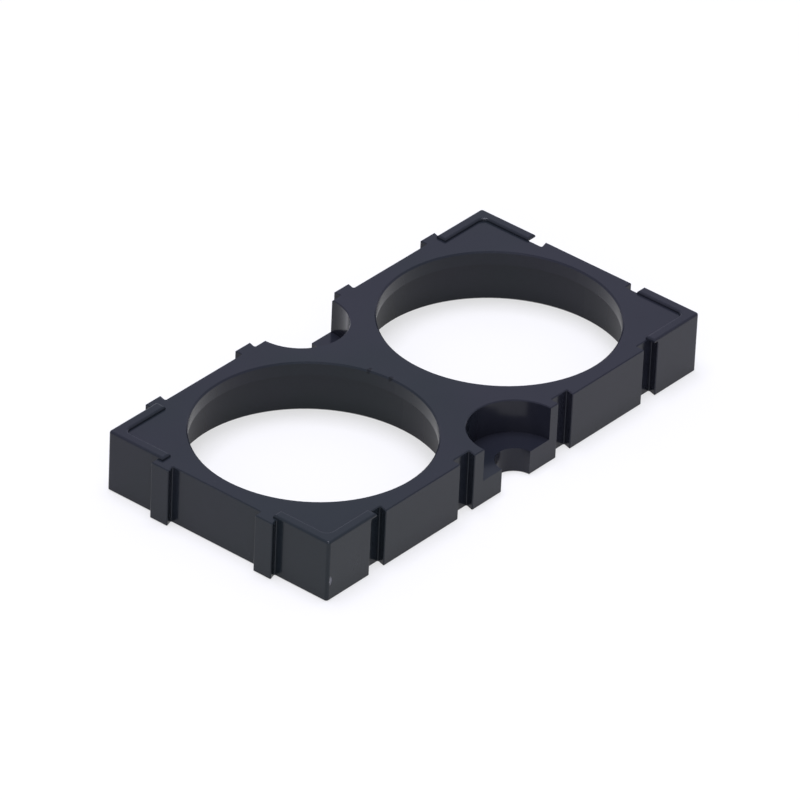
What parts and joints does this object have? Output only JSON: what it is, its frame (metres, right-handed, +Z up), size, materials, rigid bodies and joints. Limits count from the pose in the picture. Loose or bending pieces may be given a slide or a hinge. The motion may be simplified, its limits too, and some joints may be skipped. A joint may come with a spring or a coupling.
{
  "type": "battery cell holder bracket",
  "caption": "Black plastic bracket that holds round battery cells side by side by their ends, with rails and slots that lock it to its neighbours.",
  "frame": {"origin": "on the flat underside, midway between the two cell axes", "axes": "+Z up along the cells, from the open mouths of the seats to the lips; +X along the row of cells, from the short side with rails to the short side with slots; +Y towards the long side with rails"},
  "size_m": [0.0691, 0.0351, 0.0082],
  "materials": {
    "black_plastic": "semi-gloss moulded black plastic"
  },
  "bodies": {
    "root": {"cell_holder_bracket": "black_plastic"}
  },
  "joints": []
}
